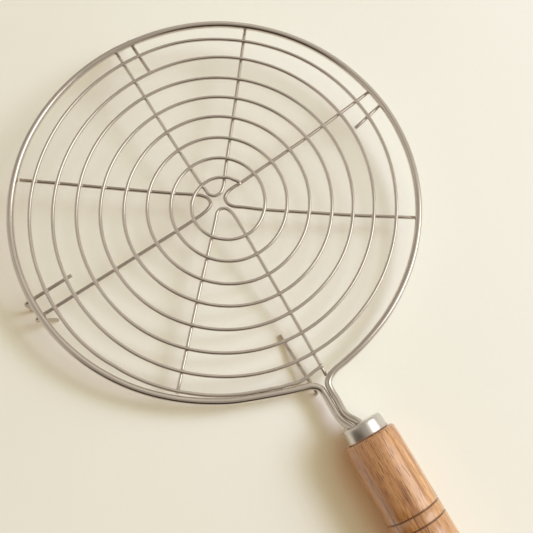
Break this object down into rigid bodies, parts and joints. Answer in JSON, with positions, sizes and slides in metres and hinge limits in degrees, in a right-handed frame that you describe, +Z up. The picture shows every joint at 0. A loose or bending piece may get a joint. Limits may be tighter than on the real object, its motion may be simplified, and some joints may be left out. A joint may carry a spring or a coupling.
{
  "type": "papad roaster",
  "caption": "Round wire roasting grille: a spiral welded over hairpin spokes inside a thick ring, on short bent feet, with a twin-wire stem, metal ferrule and turned wood handle.",
  "frame": {"origin": "middle of the underside of the bounding box, on the table that the legs stand on and the handle lies on", "axes": "+X from the grille towards the handle, +Z up, +Y to the left when looking along the handle from the grille; the handle lies on the table, so the grille leans 4.3 degrees, its far side up"},
  "size_m": [0.3676, 0.215, 0.0266],
  "materials": {
    "steel_wire": "polished",
    "ferrule_steel": "brushed",
    "handle_wood": "satin"
  },
  "bodies": {
    "root": {"ring_frame": "steel_wire", "spiral_grid": "steel_wire", "spoke_pair_nw": "steel_wire", "spoke_pair_sw": "steel_wire", "spoke_pair_ne": "steel_wire", "spoke_pair_se": "steel_wire", "foot_nw": "steel_wire", "foot_ne": "steel_wire", "foot_sw": "steel_wire", "foot_se": "steel_wire", "ferrule": "ferrule_steel", "handle_grip": "handle_wood"}
  },
  "joints": []
}
